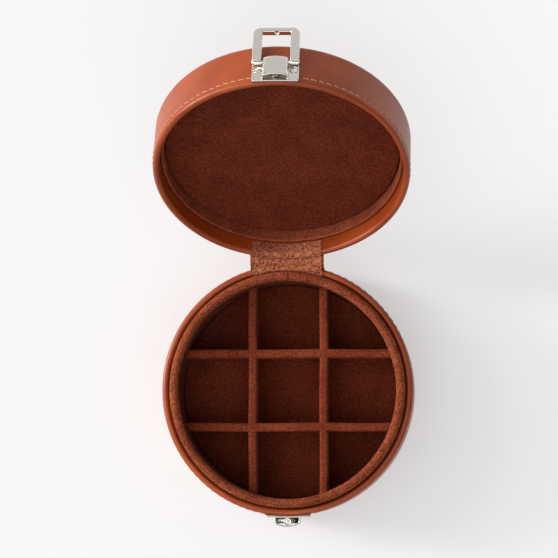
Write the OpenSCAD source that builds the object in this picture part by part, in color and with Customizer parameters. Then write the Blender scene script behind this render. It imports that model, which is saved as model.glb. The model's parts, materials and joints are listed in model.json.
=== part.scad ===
// Round leather jewellery case, drawn as it stands open on a table.
// Origin: centre of the underside. +Z up, -Y towards the catch, +Y towards the hinge.

/* [Case] */
// Outside diameter over the leather
case_d = 128; // [110:1:150]
// Height of the base, table to leather rim
base_h = 38; // [30:0.5:60]
// Height of the lid, rim to crown
lid_h = 26.5; // [20:0.5:40]
// Air left between the two rims when the lid is shut
rim_gap = 0.8; // [0.4:0.1:1.2]
// How far the lid is swung open
lid_angle = 128.5; // [0:0.1:135]

/* [Shell] */
// Thickness of the leather
leather_t = 1.0; // [0.8:0.1:1.6]
// Thickness of the grey board in the walls
board_t = 1.6; // [1.2:0.1:2.5]
// Thickness of the leather turned in behind the rim
turn_in_t = 0.8; // [0.5:0.1:1.2]
// Thickness of the suede
suede_t = 0.8; // [0.5:0.1:1.2]
// Radius of the lid's crown edge
crown_r = 3.5; // [2:0.1:6]

/* [Lining] */
// Width of the padded suede ring in the base
ring_w = 4.5; // [3:0.1:7]
// How far the suede ring stands above the leather rim
ring_proud = 3; // [1:0.1:5]
// Gap between the suede ring and the leather rim
ring_gap = 0.7; // [0.5:0.1:1.5]
// Thickness of the padded floor
pad_t = 3.6; // [2:0.1:6]
// Depth of the leather band inside the lid, rim to suede
band_depth = 8.6; // [5:0.1:12]
// Depth from the lid's rim to the face of its pad
lid_pad_depth = 14.7; // [12:0.1:20]

/* [Dividers] */
// Thickness of a divider
divider_t = 4.4; // [3:0.1:6]
// Height of a divider
divider_h = 22.5; // [15:0.5:30]
// Distance between the left and right dividers, centre to centre
divider_pitch_x = 36.4; // [30:0.1:40]
// Distance between the front and back dividers, centre to centre
divider_pitch_y = 37.6; // [30:0.1:40]

/* [Stitching] */
// Distance from one stitch to the next
stitch_pitch = 4.0; // [3:0.1:6]
// Length of one stitch
stitch_len = 3.1; // [2:0.1:5]
// Width of the thread
thread_w = 0.55; // [0.3:0.05:1]
// Distance of the stitching from the rim
stitch_inset = 3.7; // [2:0.1:6]

/* [Latch] */
// Width of the hasp and of both plates
latch_w = 23; // [16:0.1:30]
// Width of the window in the hasp
window_w = 13.9; // [10:0.1:18]
// Width of the catch hood and of the bridge on the lid
hood_w = 13.2; // [9:0.1:17]
// Length of the hasp from its pin to its end
hasp_len = 22.4; // [15:0.1:30]
// Width of the bar at the end of the hasp
bar_w = 2.85; // [2:0.05:4]
// Thickness of the hasp
hasp_t = 3.3; // [2:0.1:4]
// Height of the hasp pin above the lid's rim
pin_rise = 10.5; // [8:0.1:14]
// Distance of the hasp pin from the leather
pin_out = 2.9; // [2.5:0.1:4]
// How far the hasp swings from shut to folded back
hasp_angle = 178; // [90:1:178]
// Travel of the spring plunger in the catch
plunger_travel = 1.2; // [1:0.1:2]

/* [Hinge] */
// Width of the outer leather strap
strap_w = 37.5; // [25:0.5:50]
// Thickness of the outer strap
strap_t = 0.9; // [0.6:0.1:1.4]
// Width of the inner suede strip
strip_w = 35.3; // [20:0.1:45]
// Length of strap that is glued to each wall
strap_leg = 12; // [8:0.5:20]

/* [Hidden] */
$fn = 96;
case_r = case_d / 2;
rim_w = leather_t + board_t + turn_in_t;
rim_r = rim_w / 2;
inner_r = case_r - rim_w;
board_ro = case_r - leather_t;
board_ri = inner_r + turn_in_t;
cover_t = 0.6;
flange_w = 9;
floor_z = cover_t + leather_t;
floor_t = 2;
turn_in = 8;
ring_ro = inner_r - ring_gap;
ring_ri = ring_ro - ring_w;
ring_z = floor_z + floor_t;
ring_top = base_h + ring_proud;
pad_top = ring_z + pad_t;
lid_z = base_h + rim_gap;
lid_top = lid_z + lid_h;
lid_board_z = lid_top - 4.2;
lid_board_t = 2.4;
liner_ro = inner_r - 0.2;
liner_ri = liner_ro - 1.5;
hinge_y = case_r + strap_t + 0.3;
hinge_z = base_h + rim_gap / 2;
divider_x = divider_pitch_x / 2;
divider_y = divider_pitch_y / 2;
slack = 0.9;
plate_out = 0.9;
plate_h = 10.5;
screw_x = 9;
screw_r = 0.8;
screw_head_r = 1.8;
screw_rise = 7.2;
metal_t = 0.8;
hood_out = 5.8;
bridge_out = 5.2;
bow = 1.4;
hood_h = 7;
hood_z = base_h - 0.6;
bridge_z = lid_z + 0.8;
bridge_h = 12;
pin_r = 0.7;
running = 0.05;
knuckle_r = 1.3;
pin_y = -(case_r + pin_out);
pin_z = lid_z + pin_rise;
barrel_y = -(case_r + 2.95);
barrel_r = 2.0;
plunger_r = 1.1;
nose_r = 0.85;
lip_t = 0.5;
plunger_z = hood_z - hood_h + lip_t;
plunger_bore = 3.4 + plunger_travel;
leather = [0.60, 0.27, 0.13];
suede = [0.45, 0.22, 0.13];
board = [0.62, 0.58, 0.52];
nickel = [0.80, 0.79, 0.76];
thread = [0.80, 0.58, 0.42];
foam = [0.90, 0.88, 0.82];

// ---- placing ----

// Swings what is drawn on the shut case to where it is with the lid open.
module on_open_lid() {
    translate([0, hinge_y, hinge_z]) rotate([-lid_angle, 0, 0])
        translate([0, -hinge_y, -hinge_z]) children();
}

// Swings what is drawn hanging from the hasp pin to where it is folded back.
module folded_back() {
    translate([0, pin_y, pin_z]) rotate([-hasp_angle, 0, 0]) translate([0, -pin_y, -pin_z]) children();
}

// ---- shapes that repeat ----

module disc(r, z, t) {
    translate([0, 0, z]) cylinder(r = r, h = t);
}

module tube(ro, ri, z, h) {
    translate([0, 0, z]) difference() {
        cylinder(r = ro, h = h);
        translate([0, 0, -1]) cylinder(r = ri, h = h + 2);
    }
}

// Rectangle from one corner to the other.
module span(x0, y0, x1, y1) {
    translate([x0, y0]) square([x1 - x0, y1 - y0]);
}

// Section of a wall board standing between two heights.
module wall_section(z0, z1) {
    span(board_ri, z0, board_ro, z1);
}

// Screw clearance holes through a wall, at points [x, z].
module screw_holes(points) {
    for (p = points) translate([p[0], -case_r - 3, p[1]]) rotate([-90, 0, 0])
        cylinder(r = screw_r + running, h = 6, $fn = 32);
}

catch_points = [[-screw_x, base_h - 5.6], [screw_x, base_h - 5.6]];
hasp_points = [[-screw_x, lid_z + screw_rise], [screw_x, lid_z + screw_rise], [0, lid_z + 2.8]];

// Countersunk screws with slotted heads, at points [x, z].
module screws(points) {
    head_y = -(case_r + plate_out + 0.15);
    for (p = points) translate([p[0], head_y, p[1]]) rotate([-90, 0, 0]) difference() {
        union() {
            cylinder(r = screw_head_r, h = 0.55, $fn = 48);
            cylinder(r = screw_r, h = 3.3, $fn = 32);
        }
        translate([-3, -0.25, -0.1]) cube([6, 0.5, 0.4]);
    }
}

// Plate with a flat front, hollowed at the back to sit on the round wall.
module plate(z, points) {
    difference() {
        translate([-latch_w / 2, -(case_r + plate_out), z]) cube([latch_w, 3, plate_h]);
        translate([0, 0, z - 1]) cylinder(r = case_r, h = plate_h + 2, $fn = 180);
        screw_holes(points);
        for (p = points) translate([p[0], -(case_r + plate_out + 0.1), p[1]]) rotate([-90, 0, 0])
            cylinder(r = screw_head_r + running, h = 0.55, $fn = 48);
    }
}

// Outline of a bowed hood seen from above: flat sides and a curved front.
module hood_outline(w, out) {
    bow_r = (pow(hood_w / 2, 2) + bow * bow) / (2 * bow) - (hood_w - w) / 2;
    intersection() {
        span(-w / 2, -(case_r + out), w / 2, -(case_r + plate_out));
        translate([0, -(case_r + out) + bow_r]) circle(r = bow_r, $fn = 180);
    }
}

// Hood bent from sheet: open at the top, the bottom and the back.
module hood(out, z, h) {
    translate([0, 0, z]) linear_extrude(h) difference() {
        hood_outline(hood_w, out);
        hood_outline(hood_w - 2 * metal_t, out - metal_t);
        span(-hood_w / 2 + metal_t, -(case_r + 2), hood_w / 2 - metal_t, -case_r);
    }
}

// A row of stitches round the wall at a height, left out behind the plates and the strap.
module stitches(z) {
    count = round(2 * PI * case_r / stitch_pitch);
    for (i = [0:count - 1]) {
        a = 360 * (i + 0.5) / count;
        front_clear = abs(case_r * cos(a)) > latch_w / 2 + stitch_len / 2;
        back_clear = abs(case_r * cos(a)) > strap_w / 2 + stitch_len / 2;
        if (sin(a) < 0 ? front_clear : back_clear)
            rotate([0, 0, a]) translate([case_r, -stitch_len / 2, z - thread_w / 2])
                cube([0.3, stitch_len, thread_w]);
    }
}

// Half of a cross-halved pair: a board with slots from its top or its bottom.
module slotted_board(len, t, z0, z1, slots, slot_w, from_top) {
    mid = pad_top + divider_h / 2;
    difference() {
        translate([-len / 2, -t / 2, z0]) cube([len, t, z1 - z0]);
        for (x = slots) translate([x - slot_w / 2, -t, from_top ? mid : z0 - 1])
            cube([slot_w, 2 * t, from_top ? divider_h : mid - z0 + 1]);
    }
}

// Suede cover of a divider, hollow for its board.
module divider_cover(len, slots, from_top) {
    fit = divider_t + 0.1;
    difference() {
        slotted_board(len, divider_t, pad_top, pad_top + divider_h, slots, fit, from_top);
        divider_board(len, slots, from_top);
    }
}

module divider_board(len, slots, from_top) {
    slotted_board(len - 2 * suede_t, divider_t - 2 * suede_t, pad_top, pad_top + divider_h - suede_t,
        slots, divider_t + 2 * suede_t, from_top);
}

divider_len_x = 2 * sqrt(pow(ring_ri - slack, 2) - pow(divider_y + divider_t / 2, 2));
divider_len_y = 2 * sqrt(pow(ring_ri - slack, 2) - pow(divider_x + divider_t / 2, 2));

// ---- base ----

module base_bottom_cover() color(suede) disc(case_r - 3, 0, cover_t);

module base_wall_board() color(board) difference() {
    tube(board_ro, board_ri, floor_z, base_h - leather_t - floor_z);
    screw_holes(catch_points);
}

module base_floor_board() color(board) disc(board_ri, floor_z, floor_t);

module base_leather_wrap() color(leather) difference() {
    rotate_extrude($fn = 180) difference() {
        union() {
            span(board_ro, cover_t + rim_r, case_r, base_h - rim_r);
            span(case_r - flange_w, cover_t, case_r - rim_r, floor_z);
            span(inner_r, base_h - turn_in, board_ri, base_h - rim_r);
            translate([case_r - rim_r, base_h - rim_r]) circle(r = rim_r);
            translate([case_r - rim_r, cover_t + rim_r]) intersection() {
                circle(r = rim_r);
                span(-0.1, -rim_r, rim_r, 0);
            }
        }
        wall_section(floor_z, base_h - leather_t);
    }
    screw_holes(catch_points);
}

module base_ring_core() color(board)
    tube(ring_ro - suede_t, ring_ri + suede_t, ring_z, ring_top - ring_w / 2 - ring_z);

module base_ring_suede() color(suede) rotate_extrude($fn = 180) difference() {
    union() {
        span(ring_ri, ring_z, ring_ro, ring_top - ring_w / 2);
        translate([(ring_ro + ring_ri) / 2, ring_top - ring_w / 2]) circle(r = ring_w / 2);
    }
    span(ring_ri + suede_t, ring_z - 1, ring_ro - suede_t, ring_top - ring_w / 2);
}

module base_pad_board() color(board) disc(ring_ri - 1.2, ring_z, pad_t - 2);

module base_floor_pad() color(suede) difference() {
    disc(ring_ri - 0.1, ring_z, pad_t);
    disc(ring_ri - 1.2, ring_z - 1, pad_t - 1);
}

module divider_left() color(suede) translate([-divider_x, 0, 0]) rotate([0, 0, 90])
    divider_cover(divider_len_y, [-divider_y, divider_y], true);

module divider_right() color(suede) translate([divider_x, 0, 0]) rotate([0, 0, 90])
    divider_cover(divider_len_y, [-divider_y, divider_y], true);

module divider_front() color(suede) translate([0, -divider_y, 0])
    divider_cover(divider_len_x, [-divider_x, divider_x], false);

module divider_back() color(suede) translate([0, divider_y, 0])
    divider_cover(divider_len_x, [-divider_x, divider_x], false);

module divider_boards() color(board) {
    for (x = [-divider_x, divider_x]) translate([x, 0, 0]) rotate([0, 0, 90])
        divider_board(divider_len_y, [-divider_y, divider_y], true);
    for (y = [-divider_y, divider_y]) translate([0, y, 0])
        divider_board(divider_len_x, [-divider_x, divider_x], false);
}

module base_stitching() color(thread) stitches(base_h - stitch_inset);

// ---- catch on the base ----

module catch_plate() color(nickel) plate(base_h - 0.4 - plate_h, catch_points);

module catch_hood() color(nickel) hood(hood_out, hood_z - hood_h, hood_h);

// Closed tube for the plunger, with a lip at its lower end that keeps the plunger in.
module catch_barrel() color(nickel) translate([0, barrel_y, 0]) difference() {
    translate([0, 0, hood_z - hood_h]) cylinder(r = barrel_r, h = hood_h - 0.5);
    translate([0, 0, plunger_z]) cylinder(r = plunger_r + running, h = plunger_bore);
    translate([0, 0, hood_z - hood_h - 1]) cylinder(r = nose_r + running, h = 3);
    translate([0, 0, hood_z - 1.3]) cylinder(r = barrel_r - 0.6, h = 2);
}

module catch_spring() color(nickel) translate([0, barrel_y, plunger_z + 1.5])
    linear_extrude(plunger_bore - 1.6, twist = -360 * 4, slices = 60, $fn = 8)
        translate([0.72, 0]) circle(r = 0.2);

// Round-nosed plunger that snaps into the dimple in the hasp's bar.
module catch_plunger() color(nickel) translate([0, barrel_y, plunger_z + 0.02]) {
    cylinder(r = plunger_r, h = 1.4, $fn = 48);
    translate([0, 0, -1.1]) cylinder(r = nose_r, h = 1.2, $fn = 48);
    translate([0, 0, -1.1]) sphere(r = nose_r, $fn = 48);
}

module catch_screws() color(nickel) screws(catch_points);

// ---- hinge ----

// A point of the side view swung open with the lid.
function swing(p) = let (a = -lid_angle, y = p[0] - hinge_y, z = p[1] - hinge_z)
    [hinge_y + y * cos(a) - z * sin(a), hinge_z + y * sin(a) + z * cos(a)];

// Where a circle of radius r stands at a distance x from its middle.
function round_y(r, x) = sqrt(r * r - x * x);

// Points of an arc in the side view, from one angle to another.
function arc(c, r, a0, a1, steps) = [for (i = [0:steps]) let (a = a0 + (a1 - a0) * i / steps)
    c + r * [cos(a), sin(a)]];

// The same line on the lid, mirrored in the rim plane, swung open and run the other way.
function on_lid(line) = [for (i = [len(line) - 1:-1:0]) swing([line[i][0], 2 * hinge_z - line[i][1]])];

// Side view of the outer strap at x: up the base's wall, round the hinge line, down the lid's wall.
function strap_path(x, off) = let (y = round_y(case_r + off, x),
        leg = [[y, hinge_z - 1 - strap_leg], [y, hinge_z - 1 - strap_leg / 2], [y, hinge_z - 1]])
    concat(leg, arc([hinge_y, hinge_z], hinge_y - y, 180, 180 - lid_angle, 16), on_lid(leg));

// Side view of the inner strip at x: out of the base, over its rim, round the hinge line, into the lid.
function strip_path(x, off) = let (y = round_y(inner_r - off, x), fold = 35,
        over = [for (p = arc([case_r - rim_r, base_h - rim_r], rim_r + off, 180, 90, 6))
            [round_y(p[0], x), p[1]]],
        base_half = concat([[y, base_h - band_depth + 0.4], [y, base_h - 4]], over))
    concat(base_half, arc([hinge_y, hinge_z], hinge_y - round_y(case_r, x) + off,
        180 - fold, 180 - lid_angle + fold, 8), on_lid(base_half));

// Sheet between two skins. Each skin is a list of side views spread evenly over the width.
module sheet(w, under, over) {
    row = len(under);
    along = len(under[0]) - 1;
    skin = row * (along + 1);
    points = [for (paths = [under, over]) for (j = [0:along]) for (i = [0:row - 1])
        [w * (i / (row - 1) - 0.5), paths[i][j][0], paths[i][j][1]]];
    last = row - 1;
    faces = concat(
        [for (j = [0:along - 1]) for (i = [0:last - 1]) let (k = j * row + i) each
            [[k, k + 1, k + row + 1], [k, k + row + 1, k + row]]],
        [for (j = [0:along - 1]) for (i = [0:last - 1]) let (k = skin + j * row + i) each
            [[k, k + row + 1, k + 1], [k, k + row, k + row + 1]]],
        [for (j = [0:along - 1]) let (k = j * row) each [[k, k + row, k + skin + row, k + skin],
            [k + last, k + last + skin, k + last + skin + row, k + last + row]]],
        [for (k = [0:last - 1]) let (m = along * row + k) each [[k, k + skin, k + skin + 1, k + 1],
            [m, m + 1, m + skin + 1, m + skin]]]);
    polyhedron(points, faces);
}

strap_xs = [for (i = [0:12]) strap_w * (i / 12 - 0.5)];
strip_xs = [for (i = [0:12]) strip_w * (i / 12 - 0.5)];
skin_gap = 0.03;
strip_t = 0.38;

module hinge_strap_outer() color(leather) sheet(strap_w, [for (x = strap_xs) strap_path(x, skin_gap)],
    [for (x = strap_xs) strap_path(x, skin_gap + strap_t)]);

module hinge_strip_inner() color(suede) sheet(strip_w, [for (x = strip_xs) strip_path(x, skin_gap)],
    [for (x = strip_xs) strip_path(x, skin_gap + strip_t)]);

// ---- lid ----

module lid_wall_board() color(board) on_open_lid() difference() {
    tube(board_ro, board_ri, lid_z + leather_t, lid_board_z - lid_z - leather_t);
    screw_holes(hasp_points);
}

module lid_top_board() color(board) on_open_lid() disc(case_r - 1.8, lid_board_z, lid_board_t);

module lid_leather_side() color(leather) on_open_lid() difference() {
    rotate_extrude($fn = 180) difference() {
        union() {
            span(board_ro, lid_z + rim_r, case_r, lid_top - crown_r);
            span(inner_r, lid_z + rim_r, board_ri, lid_z + band_depth + 1);
            translate([case_r - rim_r, lid_z + rim_r]) circle(r = rim_r);
            translate([case_r - crown_r, lid_top - crown_r]) intersection() {
                circle(r = crown_r);
                span(0, -0.1, crown_r, crown_r);
            }
        }
        wall_section(lid_z + leather_t, lid_board_z);
        span(0, lid_board_z - 0.01, case_r - 1.8, lid_board_z + lid_board_t);
        span(0, lid_board_z - 5, board_ro - 0.1, lid_board_z);
    }
    screw_holes(hasp_points);
}

module lid_crown_padding() color(foam) on_open_lid()
    disc(case_r - crown_r - 0.2, lid_board_z + lid_board_t, 4.2 - lid_board_t - leather_t);

module lid_leather_top() color(leather) on_open_lid() disc(case_r - crown_r, lid_top - leather_t, leather_t);

module lid_liner_ring() color(suede) on_open_lid()
    tube(liner_ro, liner_ri, lid_z + band_depth, lid_board_z - lid_z - band_depth);

module lid_pad() color(suede) on_open_lid() disc(liner_ri - 0.1, lid_z + lid_pad_depth, 4);

module lid_pad_board() color(board) on_open_lid() disc(liner_ri - 0.3, lid_z + lid_pad_depth + 4, 2);

module lid_pad_foam() color(foam) on_open_lid()
    disc(liner_ri - 1, lid_z + lid_pad_depth + 6, lid_board_z - lid_z - lid_pad_depth - 6);

module lid_stitching() color(thread) on_open_lid() stitches(lid_z + stitch_inset);

// ---- hasp on the lid ----

module hasp_plate() color(nickel) on_open_lid() plate(lid_z + 0.2, hasp_points);

module hasp_bridge() color(nickel) on_open_lid() difference() {
    hood(bridge_out, bridge_z, bridge_h);
    pin_bore();
}

module pin_bore() {
    translate([-latch_w, pin_y, pin_z]) rotate([0, 90, 0])
        cylinder(r = pin_r + running, h = 2 * latch_w, $fn = 48);
}

module hasp_pin() color(nickel) on_open_lid() {
    head_x = latch_w / 2 + 0.1;
    translate([-head_x, pin_y, pin_z]) rotate([0, 90, 0]) cylinder(r = pin_r, h = 2 * head_x, $fn = 48);
    for (x = [-head_x - 0.4, head_x]) translate([x, pin_y, pin_z]) rotate([0, 90, 0])
        cylinder(r = 1.05, h = 0.4, $fn = 48);
}

module hasp_screws() color(nickel) on_open_lid() screws(hasp_points);

// Outline of the hasp seen from the front, hanging from its pin at the origin.
module hasp_outline() {
    corner_r = 3.9;
    half = latch_w / 2;
    difference() {
        union() {
            span(-half, -hasp_len + corner_r, half, -0.9);
            span(-half + corner_r, -hasp_len, half - corner_r, -hasp_len + corner_r);
            for (x = [-half + corner_r, half - corner_r]) translate([x, -hasp_len + corner_r])
                circle(r = corner_r);
        }
        span(-window_w / 2, -hasp_len + bar_w, window_w / 2, 1);
    }
}

module hasp_loop() color(nickel) on_open_lid() folded_back() difference() {
    union() {
        translate([0, pin_y + knuckle_r, pin_z]) rotate([90, 0, 0]) linear_extrude(hasp_t) hasp_outline();
        for (x = [-latch_w / 2, window_w / 2]) translate([x, pin_y, pin_z]) rotate([0, 90, 0])
            cylinder(r = knuckle_r, h = (latch_w - window_w) / 2, $fn = 64);
    }
    pin_bore();
    translate([0, barrel_y, pin_z - hasp_len + bar_w - 1.1]) cylinder(r = nose_r + 0.4, h = 2, $fn = 48);
}

base_bottom_cover();
base_wall_board();
base_floor_board();
base_leather_wrap();
base_ring_core();
base_ring_suede();
base_pad_board();
base_floor_pad();
divider_left();
divider_right();
divider_front();
divider_back();
divider_boards();
base_stitching();
catch_plate();
catch_hood();
catch_barrel();
catch_spring();
catch_plunger();
catch_screws();
hinge_strap_outer();
hinge_strip_inner();
lid_wall_board();
lid_top_board();
lid_leather_side();
lid_leather_top();
lid_crown_padding();
lid_liner_ring();
lid_pad();
lid_pad_board();
lid_pad_foam();
lid_stitching();
hasp_plate();
hasp_bridge();
hasp_pin();
hasp_screws();
hasp_loop();
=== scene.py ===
import json
import math

import bpy
import numpy as np
from mathutils import Matrix, Vector


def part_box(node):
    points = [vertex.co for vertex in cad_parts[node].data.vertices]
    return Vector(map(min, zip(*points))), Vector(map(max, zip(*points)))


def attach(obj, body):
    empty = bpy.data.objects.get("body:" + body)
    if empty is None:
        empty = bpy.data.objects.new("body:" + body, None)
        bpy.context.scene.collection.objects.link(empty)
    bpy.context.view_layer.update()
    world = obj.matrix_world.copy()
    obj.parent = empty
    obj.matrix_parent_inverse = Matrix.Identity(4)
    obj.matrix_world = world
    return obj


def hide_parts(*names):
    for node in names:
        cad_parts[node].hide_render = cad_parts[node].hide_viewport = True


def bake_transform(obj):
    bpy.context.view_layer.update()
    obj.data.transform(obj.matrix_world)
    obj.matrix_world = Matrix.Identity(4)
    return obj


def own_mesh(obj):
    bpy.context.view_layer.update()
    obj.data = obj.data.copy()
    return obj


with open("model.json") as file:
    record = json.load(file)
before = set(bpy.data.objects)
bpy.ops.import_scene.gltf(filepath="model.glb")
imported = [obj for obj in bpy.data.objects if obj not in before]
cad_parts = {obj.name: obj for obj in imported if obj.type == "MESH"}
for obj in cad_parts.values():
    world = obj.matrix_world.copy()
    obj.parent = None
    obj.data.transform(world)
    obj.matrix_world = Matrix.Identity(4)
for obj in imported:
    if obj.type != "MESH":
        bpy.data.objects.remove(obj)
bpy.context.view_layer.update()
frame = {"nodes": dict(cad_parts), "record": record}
mm = 0.001


# ---- Camera ----
# A long lens almost straight above the case, leaning a little to the front and to the right.
# It is aimed at a point in the rim plane, just in front of the hinge.

rim_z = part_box("base_leather_wrap")[1].z
lens_mm = 228.1
stand_off = 1.8032
lean_right = math.radians(3.50)
lean_front = math.radians(3.38)
aim = np.array([-4.31 * mm, 56.53 * mm, rim_z])
back_axis = np.array([math.sin(lean_right), -math.sin(lean_front) * math.cos(lean_right),
                      math.cos(lean_front) * math.cos(lean_right)])
camera = bpy.data.objects.new("camera", bpy.data.cameras.new("camera"))
bpy.context.scene.collection.objects.link(camera)
camera.data.lens = lens_mm
camera.data.clip_end = 10
camera.location = aim + stand_off * back_axis
right_axis = np.array([math.cos(lean_right), 0, -math.sin(lean_right)])
up_axis = np.cross(back_axis, right_axis)
turn = np.stack([right_axis, up_axis, back_axis], axis=1)
camera.rotation_mode = "QUATERNION"
camera.rotation_quaternion = Matrix(turn.tolist()).to_quaternion()
bpy.context.scene.camera = camera
bpy.context.scene.view_settings.view_transform = "Standard"


# ---- Table and light ----
# A pale table that gives off a little light of its own, a low window on the left, and weak wide fills.
# The table and the lights aren't part of the case.

def colour(hex_code):
    """Linear RGBA of an sRGB hex colour."""
    value = np.array([int(hex_code[i:i + 2], 16) for i in (1, 3, 5)]) / 255
    value = np.where(value <= 0.04045, value / 12.92, ((value + 0.055) / 1.055) ** 2.4)
    return (*value.tolist(), 1.0)


def node(tree, kind, settings=None, **links):
    """Adds one shader node. Settings go to its properties or, by socket name, to its inputs.
    Links join an input, named with _ for a space, to another node's output socket."""
    made = tree.nodes.new(kind)
    for key, value in (settings or {}).items():
        if hasattr(made, key):
            setattr(made, key, value)
        else:
            made.inputs[key].default_value = value
    for key, socket in links.items():
        names = [s.name for s in made.inputs]
        wanted = key.replace("_", " ")
        tree.links.new(socket, made.inputs[names.index(wanted)])
    return made


def new_material(name):
    """A new material, its node tree and its main shader."""
    made = bpy.data.materials.new(name)
    made.use_nodes = True
    tree = made.node_tree
    return made, tree, tree.nodes["Principled BSDF"]


table_top = bpy.data.meshes.new("table")
half = 1.6
table_top.from_pydata([(-half, -half, 0), (half, -half, 0), (half, half, 0), (-half, half, 0)], [], [(0, 1, 2, 3)])
table = bpy.data.objects.new("table", table_top)
bpy.context.scene.collection.objects.link(table)
white_card, _, card = new_material("white_card")
card.inputs["Base Color"].default_value = colour("#b0b0b0")
card.inputs["Roughness"].default_value = 0.9
card.inputs["Emission Color"].default_value = colour("#ffffff")
card.inputs["Emission Strength"].default_value = 0.45
table_top.materials.append(white_card)


def far_light(name, azimuth, height, spread, strength):
    """A distant soft light: where it stands, in degrees from +X and above the table, how wide it looks, also
    in degrees, and how strong it is."""
    made = bpy.data.objects.new(name, bpy.data.lights.new(name, "SUN"))
    made.data.angle = math.radians(spread)
    made.data.energy = strength
    a, h = math.radians(azimuth), math.radians(height)
    towards = Vector((math.cos(a) * math.cos(h), math.sin(a) * math.cos(h), math.sin(h)))
    made.rotation_euler = towards.to_track_quat("Z", "Y").to_euler()
    bpy.context.scene.collection.objects.link(made)


far_light("left_window", 168, 17, 14, 2.9)
far_light("back_window", 160, 34, 16, 0.6)
far_light("left_fill", 175, 50, 60, 1.05)
far_light("front_fill", 270, 50, 60, 0.9)
far_light("right_fill", 0, 50, 60, 0.2)
far_light("back_card", 90, 16, 70, 0.6)
far_light("overhead_card", 270, 86, 44, 0.25)
world = bpy.data.worlds.new("room")
bpy.context.scene.world = world
world.use_nodes = True
world.node_tree.nodes["Background"].inputs["Color"].default_value = colour("#ffffff")
world.node_tree.nodes["Background"].inputs["Strength"].default_value = 0.06


# ---- Leather of the base ----
# Vegetable-tanned saddle leather, finished smooth, glued round a grey-board tube.
# It is skived thin, rolled over the rim and turned in behind it, and turned under at the bottom.

hide = 1.0
turned_in = 0.8
board = 1.6
case_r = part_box("base_leather_wrap")[1].x / mm
base_top = rim_z / mm
base_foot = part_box("base_leather_wrap")[0].z / mm
rim_r = (hide + board + turned_in) / 2
inner_r = case_r - 2 * rim_r
board_r = case_r - hide - board
turn_in_depth = 8
turn_under = 9
stitch_drop = 3.7


def line(p, q, count):
    """Points evenly from p to q."""
    return np.array(p) + np.linspace(0, 1, count)[:, None] * (np.array(q) - np.array(p))


def arc(centre, radius, start, stop, count):
    """Points of a circle: centre + radius (cos a, sin a), with a in degrees from start to stop."""
    a = np.radians(np.linspace(start, stop, count))
    return np.array(centre) + radius * np.stack([np.cos(a), np.sin(a)], axis=1)


def mesh_piece(name, points, faces):
    """A smooth-shaded mesh object from points in millimetres, put in the scene."""
    mesh = bpy.data.meshes.new(name)
    mesh.from_pydata((points.reshape(-1, 3) * mm).tolist(), [], faces)
    mesh.shade_smooth()
    made = bpy.data.objects.new(name, mesh)
    bpy.context.scene.collection.objects.link(made)
    return made


def grid_mesh(name, points, close_u=False, close_v=False):
    """Mesh of quads over a grid of points, in millimetres, indexed [u, v]. Either way may close on itself.
    Where only one way closes, a face fills each of the two end loops, so that the form is shut."""
    nu, nv = points.shape[:2]
    u = np.arange(nu if close_u else nu - 1)
    v = np.arange(nv if close_v else nv - 1)
    a = u[:, None] * nv + v[None, :]
    b = ((u + 1) % nu)[:, None] * nv + v[None, :]
    c = ((u + 1) % nu)[:, None] * nv + ((v + 1) % nv)[None, :]
    d = u[:, None] * nv + ((v + 1) % nv)[None, :]
    faces = np.stack([a, b, c, d], axis=-1).reshape(-1, 4).tolist()
    if close_v and not close_u:
        faces += [list(range(nv)), list(range((nu - 1) * nv, nu * nv))[::-1]]
    if close_u and not close_v:
        faces += [list(range(0, nu * nv, nv))[::-1], list(range(nv - 1, nu * nv, nv))]
    return mesh_piece(name, points, faces)


def revolve(profile, count=256):
    """Points (r cos a, r sin a, z) of a profile of (r, z) turned about the upright axis through the origin."""
    a = np.linspace(0, 2 * np.pi, count, endpoint=False)[:, None]
    r, z = profile[:, 0][None, :], profile[:, 1][None, :]
    return np.stack([r * np.cos(a), r * np.sin(a), z + 0 * a], axis=-1)


def stitch_groove(z, middle):
    """Depth that the thread pulls the leather in: a bell 0.18 mm deep and 1.2 mm wide about a height."""
    return 0.18 * np.exp(-((z - middle) / 0.6) ** 2)


wall = line((case_r, base_foot + rim_r), (case_r, base_top - rim_r), 90)
wall[:, 0] -= stitch_groove(wall[:, 1], base_top - stitch_drop)
profile = np.concatenate([
    line((case_r - turn_under, base_foot), (case_r - rim_r, base_foot), 8),
    arc((case_r - rim_r, base_foot + rim_r), rim_r, -90, 0, 10)[1:-1], wall,
    arc((case_r - rim_r, base_top - rim_r), rim_r, 0, 180, 24)[1:],
    line((inner_r, base_top - rim_r - 0.3), (inner_r, base_top - turn_in_depth), 8),
    line((board_r, base_top - turn_in_depth), (board_r, base_top - hide), 4),
    line((case_r - hide, base_top - hide), (case_r - hide, base_foot + hide), 4),
    line((case_r - hide - 0.1, base_foot + hide), (case_r - turn_under, base_foot + hide), 4)])
shell = revolve(profile)
around = np.linspace(0, 2 * np.pi, len(shell), endpoint=False)[:, None]
lift = np.clip((shell[..., 2] - base_top + 6) / 6, 0, 1)
shell[..., 2] += lift * 0.06 * (np.sin(3 * around + 1) + np.sin(7 * around + 2))
base_leather = grid_mesh("base_leather", shell, True, True)

saddle, leather_tree, leather = new_material("saddle_leather")
where = node(leather_tree, "ShaderNodeTexCoord").outputs["Object"]
# Tanning clouds about 25 mm across, lighter where the hide is stretched.
clouds = node(leather_tree, "ShaderNodeTexNoise", {"Scale": 40, "Detail": 5, "Roughness": 0.6}, Vector=where)
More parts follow.
